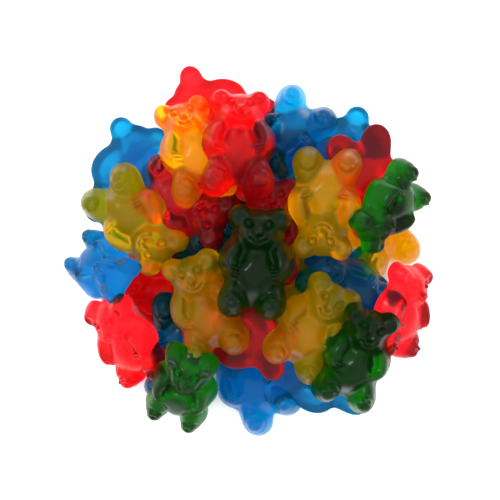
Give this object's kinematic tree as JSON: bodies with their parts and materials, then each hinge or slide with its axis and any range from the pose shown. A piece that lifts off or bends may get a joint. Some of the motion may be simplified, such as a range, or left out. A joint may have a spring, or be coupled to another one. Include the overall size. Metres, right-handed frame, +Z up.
{
  "type": "heap of gummy bears",
  "caption": "Loose low heap of bear-shaped gummy sweets in four colours, lying as they fell on a flat surface, with no dish.",
  "frame": {"origin": "middle of the heap's footprint, on the surface it lies on", "axes": "+Z up out of the heap, +Y towards the far side as the heap is seen from above, +X to its right"},
  "size_m": [0.0808, 0.0808, 0.028],
  "materials": {
    "gummy_red": "translucent soft gel, softly glossy",
    "gummy_yellow": "translucent soft gel, softly glossy",
    "gummy_green": "translucent soft gel, softly glossy",
    "gummy_blue": "translucent soft gel, softly glossy"
  },
  "bodies": {
    "root": {"heap": "gummy_red"}
  },
  "joints": []
}
